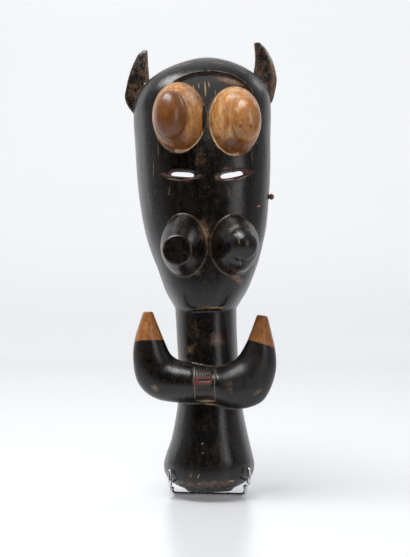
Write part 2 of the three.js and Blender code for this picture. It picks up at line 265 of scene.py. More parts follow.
def oval(count, upright=False):
    """A round outline, level or facing the front."""
    angles = 2 * math.pi * np.arange(count) / count
    return [
        (math.cos(a), 0, math.sin(a)) if upright else (math.cos(a), math.sin(a), 0) for a in angles
    ]


def arms_block(name, thinner=0):
    """A straight rod drawn out ring by ring, then bent and flattened to the arms' edges."""
    at = between([(i / (len(ARMS) - 1), *row) for i, row in enumerate(ARMS)])
    rings = range(ARMS_STEPS + 1)
    rod = drawn_up(name, oval(ARMS_AROUND), [((0, 0, k), (1, 1, 1)) for k in rings])
    stations = [at(k / ARMS_STEPS) for k in rings]
    for vertex in rod.data.vertices:
        x, y, k = vertex.co / MM
        outer_x, outer_z, inner_x, inner_z, lead, deep = stations[round(k)]
        outer, inner = Vector((outer_x, -lead, outer_z)), Vector((inner_x, -lead, inner_z))
        across = (inner - outer) / 2
        skin = 1 - thinner / across.length
        vertex.co = ((outer + inner) / 2 + across * skin * x + Vector((0, thinner - deep, 0)) * y) * MM
    return turned_outwards(rod)


carve(mask, arms_block("arms"), "UNION")


# The knobs. Two above and two below the eyes stand far out of the face: broad oval feet that draw
# in to blunt ends. The lower left one is cut off flat, the others are rounded.
KNOB_ROOT = 62
KNOB_FLANK_START = 82
KNOB_AROUND = 72
KNOB_FLANK_ROWS = 20
KNOB_DOME_ROWS = 12
KNOB_CROWN = math.radians(84)  # how far round the dome is drawn
CUT_FLAT = 2  # a dome lower than this is a saw cut, its edge a little worn
WORN_IN = 0.1
# The flanks: share of the way forward, share of the way from the foot's size to the end's. The
# upper knobs have a soft crease round the end, the lower ones run smoothly into it.
CREASED = [(0, 0), (0.2, 0.07), (0.4, 0.22), (0.58, 0.45), (0.72, 0.7), (0.85, 0.92), (1, 1)]
PLAIN = [(0, 0), (0.2, 0.06), (0.45, 0.28), (0.7, 0.6), (0.88, 0.86), (1, 1)]
ROUNDING = [(0, 0), (0.25, 0.07), (0.5, 0.27), (0.75, 0.6), (1, 1)]
KNOB_COLUMNS = ("foot", "foot_half", "end", "end_half", "front", "dome", "flank", "cap", "dark")
KNOBS = {
    "upper_left": ((-26.2, 437.4), (30.4, 42), (-35.9, 434), (18, 27.5), 117, 12, CREASED, 8, 0.75),
    "upper_right": ((37.9, 431.4), (29, 41.6), (50.8, 427.4), (17.2, 26.3), 116, 13, CREASED, 8, 0.25),
    "lower_left": ((-24.2, 287), (26, 36), (-31, 275.5), (17.4, 18), 120, 1.2, PLAIN, 8, 0),
    "lower_right": ((34, 285.5), (26.8, 35), (43.6, 281), (16.4, 18), 116, 9.5, ROUNDING, 52, 0),
}
KNOBS = {name: dict(zip(KNOB_COLUMNS, row)) for name, row in KNOBS.items()}

for name, knob in KNOBS.items():
    narrowing_at = between(knob["flank"])
    foot, foot_half, end, end_half = (np.array(knob[column]) for column in KNOB_COLUMNS[:4])
    rows = [((foot[0], -KNOB_ROOT, foot[1]), (foot_half[0], 1, foot_half[1]))]
    for way in np.linspace(0, 1, KNOB_FLANK_ROWS):
        x, z = foot + (end - foot) * way
        half_x, half_z = foot_half + (end_half - foot_half) * narrowing_at(way)[0]
        y = -(KNOB_FLANK_START + (knob["front"] - KNOB_FLANK_START) * way)
        rows.append(((x, y, z), (half_x, 1, half_z)))
    cap = math.radians(knob["cap"])  # how far round the dome starts
    for angle in np.linspace(cap, KNOB_CROWN, KNOB_DOME_ROWS):
        left = math.cos(angle) / math.cos(cap)
        if knob["dome"] < CUT_FLAT:
            left = 1 - WORN_IN * math.sin(angle)
        y = -(knob["front"] + knob["dome"] * (math.sin(angle) - math.sin(cap)) / (1 - math.sin(cap)))
        rows.append(((end[0], y, end[1]), (end_half[0] * left, 1, end_half[1] * left)))
    carve(mask, drawn_up(name, oval(KNOB_AROUND, upright=True), rows), "UNION")


# The ears. Two pointed, curved ears rise from the back corners of the dome. Each has a broad front
# face and, to the viewer's right, a narrow side face, and the two meet in a ridge.
# The faces that look to the viewer's right are painted lighter in the finish, a painted highlight.
EARS = {  # height, outer edge, inner edge, half thickness
    "ear_left": [(454, -82, -58, 8), (468, -90.3, -58, 8.5), (478, -93.9, -58, 8.5),
                 (492, -91.6, -61, 8), (512, -86, -63, 6.8), (527, -79.4, -63.6, 5),
                 (534, -75.4, -63.8, 4), (538, -70.5, -64.2, 3)],
    "ear_right": [(460, 80.8, 58, 8), (470, 87.4, 58, 8.5), (483, 91.2, 60, 8.5),
                  (496, 93.4, 62, 8.2), (506, 92.6, 64.4, 7.5), (519, 89.7, 66.6, 6.4),
                  (530, 85, 66.9, 5.3), (538, 80, 66.5, 4.3), (544.3, 74.5, 66.3, 3)],
}
EAR_MIDDLE = 11
EAR_SECTION = [  # a front face, a ridge, a narrow side face and a rounded back
    (-1, -0.1, 0), (-0.85, -0.42, 0), (-0.4, -0.56, 0), (0.1, -0.76, 0), (0.44, -1, 0), (0.58, -0.94, 0),
    (1, -0.1, 0), (0.9, 0.5, 0), (0.5, 0.9, 0), (0, 1, 0), (-0.5, 0.9, 0), (-0.9, 0.5, 0),
]
EAR_STEPS = 40
for name, table in EARS.items():
    at = between(table)
    rows = []
    for z in np.linspace(table[0][0], table[-1][0], EAR_STEPS):
        outer, inner, thick = at(z)
        rows.append((((outer + inner) / 2, -EAR_MIDDLE, z), (abs(outer - inner) / 2, thick, 1)))
    carve(mask, drawn_up(name, EAR_SECTION, rows), "UNION")


# The hollow. The back of the head was dug out with a gouge to a wall of 11 to 12 mm, so that the
# mask can be held before a face.
WALL_SIDE = 11
WALL_FRONT = 12
HOLLOW = {"low": 238, "high": 510, "rounding": 40, "lowest": 0.45, "behind": 4}
rows = []
for z in head_heights(HOLLOW["low"], HOLLOW["high"]):
    half, depth, shift = head_at(z)
    t = min(max((z - HOLLOW["low"]) / HOLLOW["rounding"], 0), 1)
    opening = HOLLOW["lowest"] + (1 - HOLLOW["lowest"]) * math.sqrt(1 - (1 - t) ** 2)
    rows.append((
        (shift, HOLLOW["behind"], z),
        ((half - WALL_SIDE) * opening, (depth - WALL_FRONT) * opening + HOLLOW["behind"], 1),
    ))
carve(mask, turned_face(drawn_up("hollow", flat_backed(HEAD_SQUARENESS), rows)))


# The eye slits. Each was cut through the wall from a wider shallow almond in front. The cut runs
# in slightly towards the middle, so the outer end shows its wall.
SLITS = {
    "left": {"x": -24.8, "z": 370, "half": 14.3, "rise": 3.3, "tilt": math.radians(-6), "inward": 0.5},
    "right": {"x": 37, "z": 369, "half": 14.6, "rise": 3.5, "tilt": math.radians(11), "inward": -3.5},
}
SLIT_RIM = 1.3
SLIT_CUTS = [  # how far in front of the face's surface, share of the size, share of the way inwards
    (-WALL_FRONT - 12, 0.94, 1.4), (-8, 1, 0.6), (1, SLIT_RIM, 0),
]
FULLER = 0.7  # makes an oval's outline fuller towards its corners
RIM_FULLNESS = 2.8  # of the rim's outline, 2 being an oval
almond = [
    (math.copysign(abs(x) ** FULLER, x), 0, math.copysign(abs(z) ** FULLER, z))
    for x, _, z in oval(48, upright=True)
]
for name, slit in SLITS.items():
    depth = head_at(slit["z"])[1]
    rows = []
    for before, share, inward in SLIT_CUTS:
        middle = (slit["x"] + slit["inward"] * inward, -depth - before, slit["z"])
        rows.append((middle, (slit["half"] * share, 1, slit["rise"] * share)))
    tool = drawn_up(f"slit_{name}", almond, rows)
    turn = Matrix.Rotation(-slit["tilt"], 4, "Y")
    pivot = Matrix.Translation(Vector((slit["x"], 0, slit["z"])) * MM)
    tool.data.transform(pivot @ turn @ pivot.inverted())
    carve(mask, tool)


# The panel. A small sunk field on the front of the arms, between two upright lines. It was pared
# down evenly with a flat knife, so that its floor follows the round of the arms.
PANEL = {"left": -17, "right": 10.5, "bottom": 98, "top": 152, "sunk": 1.6, "behind": 70}
FOREMOST = 95  # only the knobs reach further forward
bpy.ops.object.select_all(action="DESELECT")
bpy.ops.mesh.primitive_cube_add(size=1)
panel_tool = bpy.context.object
panel_low = Vector((PANEL["left"], -FOREMOST, PANEL["bottom"])) * MM
panel_high = Vector((PANEL["right"], -PANEL["behind"], PANEL["top"])) * MM
for vertex in panel_tool.data.vertices:
    share = vertex.co + Vector((0.5, 0.5, 0.5))
    vertex.co = panel_low + (panel_high - panel_low) * share
carve(panel_tool, arms_block("panel_floor", PANEL["sunk"]))
carve(mask, panel_tool)


# The block as one. All that was cut and left standing is one skin, and its saw-sharp corners are
# eased the way a knife and years of handling do it.
CORNER = 1.15 * MM
modified(mask, "REMESH", mode="VOXEL", voxel_size=CORNER)
modified(mask, "SMOOTH", factor=0.5, iterations=3)


# The slits' lips and the panel's figure. Fine cuts made with the knife point after the block was
# smooth: a thin raised lip under each slit, and on the arms a long raised ring with ticks above
# and teeth below it, between two upright ridges.
RING = {"x": -6, "z": 128, "half": (10.8, 4.6), "round": 2.5, "rise": 1.0}
SLOT = {"x": -4, "half": (7, 1.5), "round": 1}
TICKS = {"pitch": 3.1, "width": 1.3, "deep": 1.1, "shift": 0.6, "from_ridges": (2, 4)}
TICK_ROWS = [(134, 143), (117, 122.5)]  # the ticks and the teeth, from and to what height
RIDGES = {"left": -15.2, "right": 7.6, "width": 1.8, "rise": 1.0, "low": 99, "high": 149}
WAIST = {"z": 121, "spread": 0.0042}  # the right ridge bows in to here
LIP = {"rise": 0.6, "width": 1.4, "out": 0.7}
KNIFE_EDGE = 0.6  # how wide the slope of a cut edge is


def vectors_of(items, name):
    """One vector of every item, in rows."""
    values = np.empty(len(items) * 3)
    items.foreach_get(name, values)
    return values.reshape(-1, 3)


def cut_finer(block, low, high):
    """Subdivides the faces whose middle lies in a box, in mm."""
    select_only(block)
    middles = vectors_of(block.data.polygons, "center") / MM
    inside = np.all((middles > low) & (middles < high), axis=1)
    bpy.ops.object.mode_set(mode="EDIT")
    bpy.ops.mesh.select_all(action="DESELECT")
    bpy.ops.object.mode_set(mode="OBJECT")
    block.data.polygons.foreach_set("select", inside)
    bpy.ops.object.mode_set(mode="EDIT")
    bpy.ops.mesh.subdivide(number_cuts=1)
    bpy.ops.object.mode_set(mode="OBJECT")


cut_finer(mask, (-22, -FOREMOST, 96), (15, -72, 152))
for slit in SLITS.values():
    left, right = slit["x"] - 22, slit["x"] + 22
    cut_finer(mask, (left, -FOREMOST, slit["z"] - 10), (right, -78, slit["z"] + 10))


def places_of(block):
    """Every vertex's place, in mm, and its outward direction."""
    mesh = block.data
    return vectors_of(mesh.vertices, "co") / MM, vectors_of(mesh.vertex_normals, "vector")


def bump_at(distance, width):
    """1 on a line, falling softly to 0 at half the width to either side."""
    return np.exp(-((2 * distance / width) ** 2))


def within(value, low, high, soft=KNIFE_EDGE):
    """1 between the two, 0 outside, with a slope of the given width at either end."""
    return np.clip((value - low) / soft + 0.5, 0, 1) * np.clip((high - value) / soft + 0.5, 0, 1)


def rounded_box(x, z, half_x, half_z, corner):
    """Distance outside a flat box with round corners."""
    over_x, over_z = np.abs(x) - half_x + corner, np.abs(z) - half_z + corner
    outside = np.hypot(np.maximum(over_x, 0), np.maximum(over_z, 0))
    return outside + np.minimum(np.maximum(over_x, over_z), 0) - corner


def slit_distance(x, z, slit):
    """Distance outside the slit's wide rim, and how far above its line."""
    dx, dz = x - slit["x"], z - slit["z"]
    turn = slit["tilt"]
    along, up = dx * math.cos(turn) + dz * math.sin(turn), dz * math.cos(turn) - dx * math.sin(turn)
    half, rise = slit["half"] * SLIT_RIM, slit["rise"] * SLIT_RIM
    full = RIM_FULLNESS
    ring = (np.abs(along / half) ** full + np.abs(up / rise) ** full) ** (1 / full)
    return (ring - 1) * rise, up


def panel_fields(x, z):
    """Where the ring, the ticks and teeth, and the ridges of the panel lie, each from 0 to 1."""
    z_out = z - RING["z"]
    ring = rounded_box(x - RING["x"], z_out, *RING["half"], RING["round"])
    slot = rounded_box(x - SLOT["x"], z_out, *SLOT["half"], SLOT["round"])
    bar = np.clip(0.5 - ring / KNIFE_EDGE, 0, 1) * np.clip(0.5 + slot / KNIFE_EDGE, 0, 1)
    left, right = RIDGES["left"], RIDGES["right"] + WAIST["spread"] * (z - WAIST["z"]) ** 2
    pitch, (from_left, from_right) = TICKS["pitch"], TICKS["from_ridges"]
    across = (x + TICKS["shift"] + pitch / 2) % pitch - pitch / 2
    tick = bump_at(across, TICKS["width"]) * within(x, left + from_left, right - from_right)
    tick = tick * sum(within(z, low, high) for low, high in TICK_ROWS)
    width, low, high = (RIDGES[key] for key in ("width", "low", "high"))
    ridge = np.maximum(bump_at(x - left, width), bump_at(x - right, width)) * within(z, low, high, 4)
    return bar, tick * (1 - bar), ridge


places, outward = places_of(mask)
x, y, z = places.T
front = within(-y, 72, 200, 4) * np.clip(-outward[:, 1] * 1.5, 0, 1)
bar, tick, ridge = panel_fields(x, z)
on_panel = front * within(x, -20, 13) * within(z, 98, 150)
rise = RING["rise"] * bar - TICKS["deep"] * tick + RIDGES["rise"] * ridge
rise = on_panel * rise
for slit in SLITS.values():
    distance, up = slit_distance(x, z, slit)
    below = np.clip(0.4 - up / 2, 0, 1)
    rise += front * LIP["rise"] * bump_at(distance - LIP["out"], LIP["width"]) * below
places += outward * rise[:, None]


# The worked surface. The front was scraped and rubbed nearly smooth, with shallow flats left by
# the knife and low waves where it dwelt. The hollow keeps the deeper scallops of the gouge.
GOUGE = (11, 11, 26), 3.7, 1.1  # length along each axis, seed, depth
KNIFE = (15, 15, 24), 9.1, 0.22
WAVES = (34, 34, 48), 5.3, 0.35
FIBRES = (6, 6, 22), 2.9, 0.05
DISH_MEAN = 0.35
HOLLOW_MARGIN = 2


def noise_at(points, size, seed, deep):
    """Smooth waves as long as size, in mm, along each axis, up and down by deep at most."""
    scaled = points / np.array(size) + seed
    return deep * np.array([noise.noise(point) for point in scaled])


def flats_at(points, size, seed, deep):
    """Shallow dishes side by side, about deep from their middle to the edges between them."""
    scaled = points / np.array(size) + seed
    dish = [noise.voronoi(point, distance_metric="DISTANCE_SQUARED")[0][0] for point in scaled]
    return deep * (np.array(dish) - DISH_MEAN)


def inside_hollow(places):
    """1 on the walls of the hollow, 0 elsewhere."""
    x, y, z = places.T
    heights = np.arange(HOLLOW["low"] - 4, HOLLOW["high"] + 6)
    half, depth, shift = (np.interp(z, heights, sizes) for sizes in zip(*map(head_at, heights)))
    across = (x + y * FACE_TURN - shift) / (half - WALL_SIDE + HOLLOW_MARGIN)
    forward = np.minimum(y, 0) / (depth - WALL_FRONT + HOLLOW_MARGIN)
    ring = np.abs(across) ** HEAD_SQUARENESS + np.abs(forward) ** HEAD_SQUARENESS
    return (ring < 1) * within(z, HOLLOW["low"] - 4, HOLLOW["high"] + 3, 1) * within(y, -200, -0.4, 1)


gouged = inside_hollow(places)
places += outward * (flats_at(places, *GOUGE) * gouged)[:, None]
worked = flats_at(places, *KNIFE) + noise_at(places, *WAVES) + noise_at(places, *FIBRES)
places += outward * (worked * (1 - gouged))[:, None]
mask.data.vertices.foreach_set("co", (places * MM).ravel())
mask.data.update()


# Where the finish differs. Soft-edged fields are kept on the mesh for the finish to read: bare
# knobs and arm tips, red pigment, edges (rubbed, and partly a painted highlight), places worn by
# hands and the raw hollow, painted shade on the bare knobs and a painted highlight on the ears.
TIP_LINES = [(-80, 176.5, 0.02), (78, 165, -0.33)]  # x, z there, slope
FAR_FROM_BARE = -50.0
KNOBS_BEFORE = 66  # how far forward the upper knobs leave the face
ENDS_BEFORE = 100
OVERHANG = {"out": 1.14, "before": KNOB_FLANK_START + 4}  # the outer flanks lean over their feet
# The arm tips' darker wood, and the painted shade on the undersides of the upper knobs' feet.
TIPS_DARK, LOW_FEET_SHADE = 0.42, 0.7
# How far the ears are worn brown, and how much lighter their right-facing faces are painted: a painted
# highlight.
EARS_HANDLED, EAR_SIDES_LIT = 0.42, 0.3
SLITS_RED, LIPS_RED = 0.8, 0.6
MATTE_ARM = 0.25
HANDLED = [  # x, z, half width, half height, turn in degrees, strength
    (0, 300, 8, 17, 4, 0.9), (-9, 254, 9, 5, -10, 0.7), (37, 247, 13, 6, -40, 0.85),
    (10, 176, 10, 9, 0, 0.85), (-27, 154, 7, 3, 10, 1), (-61, 121, 7, 4, -30, 0.9),
    (58, 114, 7, 4, 25, 0.7), (36, 482, 24, 5, -14, 0.9), (-3, 384, 12, 15, 0, 0.55),
    (17, 364, 5, 8, 0, 0.6), (-20, 420, 4, 30, 0, 0.4), (-44, 230, 12, 20, 20, 0.3),
    (5, 214, 20, 2, 0, 0.9), (0, 10, 50, 6, 0, 0.6), (-14, 190, 10, 24, 0, 0.5),
    (-20, 166, 6, 7, 0, 0.9), (60, 300, 7, 40, 0, 0.3), (-62, 330, 8, 60, 0, 0.3),
    (0, 106, 14, 3, 0, 0.7), (62, 430, 5, 40, 0, 0.4), (24, 120, 6, 14, 0, 0.5),
]
RED_SPOTS = [
    (-30, 361.6, 4, 1.6, -4, 1), (-18, 361.8, 5, 2.2, 0, 1), (24, 361.5, 4, 1.8, 12, 0.9),
    (28, 374.6, 8, 1.6, 8, 0.8), (40, 362, 7, 1.2, 10, 0.8), (53, 370, 3, 2.5, 50, 0.8),
]
# Mostly painted shadows on the upper knobs, under their ends and in the creases beside them, with a few
# small dark spots in the wood.
SHADOWS_AND_DARK_SPOTS = [
    (43.5, 416, 1.6, 1.3, 0, 1), (56, 415.8, 1.8, 0.9, 0, 0.9), (36, 401, 10, 4, -20, 0.8),
    (-27, 407, 6, 4, 30, 0.9), (-30, 424, 8, 8, 0, 0.5), (-33, 453, 9, 3, 10, 0.5),
    (28, 425, 3, 16, 0, 0.4),
]


def keep_field(block, name, values):
    field = block.data.attributes.new(name, "FLOAT", "POINT")
    field.data.foreach_set("value", np.asarray(values, np.float32))


def marks_at(x, z, marks):
    """The strongest of the soft oval marks at each place."""
    total = np.zeros(len(x))
    for mark_x, mark_z, half_x, half_z, turn, strength in marks:
        turn = math.radians(turn)
        across = (x - mark_x) * math.cos(turn) + (z - mark_z) * math.sin(turn)
        up = (z - mark_z) * math.cos(turn) - (x - mark_x) * math.sin(turn)
        total = np.maximum(total, strength * np.exp(-((across / half_x) ** 2) - (up / half_z) ** 2))
    return total


def out_of(x, z, middle, half):
    """How far out of an oval's middle a place lies, seen from the front, 1 being its outline."""
    return np.hypot((x - middle[0]) / half[0], (z - middle[1]) / half[1])


def rubbed_edges(block, places, outward, rounds=14):
    """How far each vertex stands proud of its surroundings, in mm."""
    edges = np.empty(len(block.data.edges) * 2, int)
    block.data.edges.foreach_get("vertices", edges)
    a, b = edges.reshape(-1, 2).T
    count = len(places)
    share = np.bincount(a, minlength=count) + np.bincount(b, minlength=count)
    soft = places.copy()
    for _ in range(rounds):
        total = np.column_stack([
            np.bincount(a, soft[b, k], count) + np.bincount(b, soft[a, k], count) for k in range(3)
        ])
        soft = (soft + total / share[:, None]) / 2
    return ((places - soft) * outward).sum(axis=1)


places, outward = places_of(mask)
x, y, z = places.T
faces_front = np.clip(-outward[:, 1] * 2, 0, 1) * (y < -30)
keep_field(mask, "edge", rubbed_edges(mask, places, outward))
keep_field(mask, "inside", inside_hollow(places))
foot_rim = np.full(len(x), FAR_FROM_BARE)
bare = foot_rim.copy()
for line_x, line_z, slope in TIP_LINES:
    near = (np.sign(x) == np.sign(line_x)) & (y < -35) & (y > -90) & (np.abs(x) > 44) & (z < 212)
    bare = np.where(near, z - line_z - slope * (x - line_x), bare)
# deep darkens the bare wood: the arm tips' own darker tone, the knobs' darker ends, and painted shadows
# under the ends and on the lower feet.
deep = np.maximum(marks_at(x, z, SHADOWS_AND_DARK_SPOTS), TIPS_DARK * (bare > -6))
for knob in (KNOBS["upper_left"], KNOBS["upper_right"]):
    (foot_x, foot_z), foot_half = knob["foot"], knob["foot_half"]
    out = out_of(x, z, knob["foot"], foot_half)
    foot_rim = np.where((y < -KNOBS_BEFORE) & (out < 1.3), (1.01 - out) * foot_half[0], foot_rim)
    overhang = (out < OVERHANG["out"]) & ((x - foot_x) * (knob["end"][0] - foot_x) > 60)
    foot_rim = np.where(overhang, np.maximum(foot_rim, -y - OVERHANG["before"]), foot_rim)
    end_out = out_of(x, z, knob["end"], knob["end_half"])
    deep += knob["dark"] * within(-end_out, -1.08, 9, 0.14) * (y < -ENDS_BEFORE)
    # Painted shade: the lowest part of each upper knob's foot, which faces down away from the light
    # above, is darkened.
    shaded_low_foot = within(-z, 30 - foot_z, 0, 16) * (out < 1.2) * (y < -KNOBS_BEFORE)
    deep += LOW_FEET_SHADE * shaded_low_foot * within(y, -112, 0, 10)
keep_field(mask, "bare", np.maximum(bare, foot_rim))
keep_field(mask, "foot_rim", foot_rim)
keep_field(mask, "deep", deep)
on_ear = within(z, 468, 600, 16) * within(np.abs(x), 58, 200, 6) * within(y, -21, 0, 6)
# A painted highlight: the ears' faces that look to the viewer's right are painted lighter, as if lit from
# the right. It is kept in one field with the worn places.
lit_ear_sides = on_ear * np.clip(outward[:, 0] * 2 - 0.5, 0, 1)
ears = EARS_HANDLED * on_ear + EAR_SIDES_LIT * lit_ear_sides
keep_field(mask, "handled_and_lit", np.maximum(marks_at(x, z, HANDLED) * faces_front, ears))
keep_field(mask, "front", faces_front)
keep_field(mask, "ridge", on_panel * ridge)
red = np.maximum(on_panel * bar, marks_at(x, z, RED_SPOTS) * faces_front)
for slit in SLITS.values():
    distance, up = slit_distance(x, z, slit)
    red = np.maximum(red, SLITS_RED * within(distance, -9, -0.6) * within(-y, 70, 200))
    lip = bump_at(distance - 0.4, 1.8) * within(-up, 0, 20, 2)
    red = np.maximum(red, LIPS_RED * lip * faces_front)
keep_field(mask, "red", red)
arch_out = out_of(x, z, (BROW["x"], BROW["z"]), (BROW["half_width"], BROW["rise"]))
under_brow = within(-arch_out, -1, 9, 0.06) * within(z, BROW["z"], 600, 30) * within(y, -84, -50, 3)
matte_arm = MATTE_ARM * within(x, 18, 100, 14) * within(z, 90, 168, 6) * within(y, -100, -50)
keep_field(mask, "sheltered", np.maximum(under_brow, matte_arm))


# Set in place. The mesh is thinned to what the form needs. Then the block is leant back, and a
# little to the viewer's left, until its foot rests in the stand.
LEAN = math.radians(9)
ROLL = math.radians(1.3)
MASK_FOOT = Vector((11, -18.5, 1.6)) * MM
MOST_TRIANGLES = 192000
lean = Matrix.Translation(MASK_FOOT) @ Matrix.Rotation(-LEAN, 4, "X") @ Matrix.Rotation(-ROLL, 4, "Y")

modified(mask, "TRIANGULATE")
modified(mask, "DECIMATE", ratio=min(1, MOST_TRIANGLES / len(mask.data.polygons)))
mask.data.transform(lean)
bpy.ops.object.shade_smooth()


# Blackened wood. Dense light brown hardwood, stained black but for the upper knobs and arm tips,
# rubbed with oil to a gloss and worn brown by hands: a deep black with a broken sheen, a warm
# streaky brown where it is bare, and a dull one in the hollow, neither stained nor oiled.
STAIN_BLACK, STAIN_THIN = "090807", "130e0b"
BARE_WOOD, PALE_RIM = "b4763a", "d8b48c"
RAW_WOOD = "7d5838"
PIGMENT = "6a322a"
# The patterns' sizes in mm. Bands of growth are 11 wide, the stain took unevenly in patches of 30
# with blotches of 6, and rubbing left streaks 5 wide. Pores of 0.2 and chips of 0.5 are too fine
# to show, so they are drawn 1.6 and 2.4 wide.
ALONG, DRAWN, ROUND = 0.07, 0.3, 1  # how the patterns are stretched along the grain
NOISES = [  # name, stretch, size, detail, roughness
    ("grain", ALONG, 1.6, 5, 0.65), ("figure", ALONG, 11, 3, 0.5), ("patches", ROUND, 30, 5, 0.6),
    ("specks", ROUND, 2.4, 4, 0.7), ("mottle", ROUND, 6, 5, 0.7), ("streaks", DRAWN, 5, 4, 0.65),
]
FIELDS = ("edge", "inside", "red", "bare", "foot_rim", "deep", "handled_and_lit", "ridge", "front", "sheltered")
STAINED = [  # field, noise and how much of it, where it starts, where it is full, strength, colour
    ("none", "patches", 1, 0.44, 0.66, 1, STAIN_THIN),
    ("none", "streaks", 1, 0.52, 0.66, 0.6, "261b14"),
    ("none", "mottle", 1, 0.53, 0.62, 0.5, "2a2018"),
    ("none", "specks", 1, 0.6, 0.72, 0.35, "53473c"),
    ("edge", "mottle", -0.8, -0.55, -0.95, 0.7, "54402f"),
    # Worn brown where hands rubbed, and a painted highlight on the ears' right-facing faces.
    ("handled_and_lit", "mottle", 1.5, 1.05, 1.4, 0.8, "56402f"),
    ("handled_and_lit", "specks", 1.6, 1.35, 1.65, 0.7, "846c55"),
    ("edge", "mottle", 0.9, 0.75, 1.0, 0.4, "5c4634"),
    # Pale grey on the sharpest edges: rubbed wear, and partly a painted highlight where they catch the
    # light.
    ("edge", "specks", 0.7, 0.8, 1.05, 0.7, "8d8177"),
    ("ridge", "specks", 0.8, 0.75, 1.2, 0.8, "7a6350"),
    ("scratch", "specks", 0.9, 0.75, 1.15, 0.9, "9c8063"),
]
BARE = [
    ("none", "figure", 1, 0.42, 0.58, 0.75, "8d6036"),
    ("none", "patches", 1, 0.48, 0.62, 0.6, "c99f70"),
    ("none", "streaks", 1, 0.5, 0.62, 0.6, "d9b17c"),
    ("none", "grain", 1, 0.52, 0.66, 0.6, "6e4522"),
    ("none", "mottle", 1, 0.53, 0.63, 0.65, "744c2a"),
    ("none", "specks", 1, 0.56, 0.68, 0.6, "5b371b"),
    # Darker where deep is high: the tips' and ends' own tone, and painted shade on the upper knobs.
    ("deep", "patches", 0.8, 0.45, 1.0, 0.85, "864c1f"),
    ("deep", "mottle", 1.3, 1.0, 1.45, 0.6, "4f2b13"),
]
RAW = [
    ("none", "figure", 1, 0.3, 0.7, 1, "4c3221"),
    ("none", "grain", 1, 0.5, 0.75, 0.5, "3d281a"),
]
REDDENED = [("red", "specks", 0.9, 0.75, 1.2, 0.85, PIGMENT)]
ROUGH = [("patches", 0.14), ("streaks", 0.16), ("specks", 0.14), ("mottle", 0.12)]
DULL_ROUGHER = 0.45
RELIEF = [("specks", 1), ("streaks", 1.6), ("grain", 0.5)]
RELIEF_DEPTH = 0.2 * MM
BARE_EDGE = {"ragged": 3.5, "starts": 1.2, "full": 2.1}  # in mm up the arm or into the knob
# A pale line round the upper knobs' feet: worn wood, and partly a painted highlight on the rim.
RIM_EDGE = {"ragged": 2, "at": 1.6, "starts": 0.9, "full": 0.2, "strength": 0.8}


def linear(hex_colour):
    """A colour from an sRGB hex value."""
    parts = [int(hex_colour[i:i + 2], 16) / 255 for i in (0, 2, 4)]
    return [c / 12.92 if c <= 0.04045 else ((c + 0.055) / 1.055) ** 2.4 for c in parts] + [1]


def add(tree, kind, inputs=None, output=None, **settings):
    """Adds a node and gives its named or first output. An input takes a value, or an output to
    link, and is named or counted. A colour may be a hex value."""
    node = tree.nodes.new(f"ShaderNode{kind}")
    for key, value in settings.items():
        setattr(node, key, value)
    for key, value in (inputs or {}).items():
        open_inputs = [socket for socket in node.inputs if socket.enabled and socket.name == key]
        socket = open_inputs[0] if open_inputs else node.inputs[key]
        if isinstance(value, bpy.types.NodeSocket):
            tree.links.new(value, socket)
        else:
            socket.default_value = linear(value) if isinstance(value, str) else value
    return next(s for s in node.outputs if s.enabled and output in (None, s.name))


SOFT_STEP = {"interpolation_type": "SMOOTHSTEP"}  # a MapRange that starts and ends gently


def new_finish(name, **surface):
    """A material, its node tree and its surface, with the given plain values set."""
    finish = bpy.data.materials.new(name)
    finish.use_nodes = True
    shader = finish.node_tree.nodes["Principled BSDF"]
    for key, value in surface.items():
        shader.inputs[key].default_value = value
    return finish, finish.node_tree, shader


def link_surface(tree, shader, colour, roughness, normal):
    for name, output in (("Base Color", colour), ("Roughness", roughness), ("Normal", normal)):
        tree.links.new(output, shader.inputs[name])


def summed(tree, noises, shares, total=0):
    """Adds each noise to the total, times its share."""
    for name, share in shares:
        total = add(tree, "Math", {0: noises[name], 1: share, 2: total}, operation="MULTIPLY_ADD")
    return total


def layered(tree, colour, layers, fields, noises):
    """Lays each colour over the last where its field and noise together are high enough."""
    for field, noise_name, much, low, high, strength, over in layers:
        height = summed(tree, noises, [(noise_name, much)], fields[field])
        share = add(tree, "MapRange", {
            "Value": height, "From Min": low, "From Max": high, "To Max": strength,
        }, **SOFT_STEP)
        colour = add(tree, "Mix", {"Factor": share, "A": colour, "B": over}, data_type="RGBA")
    return colour


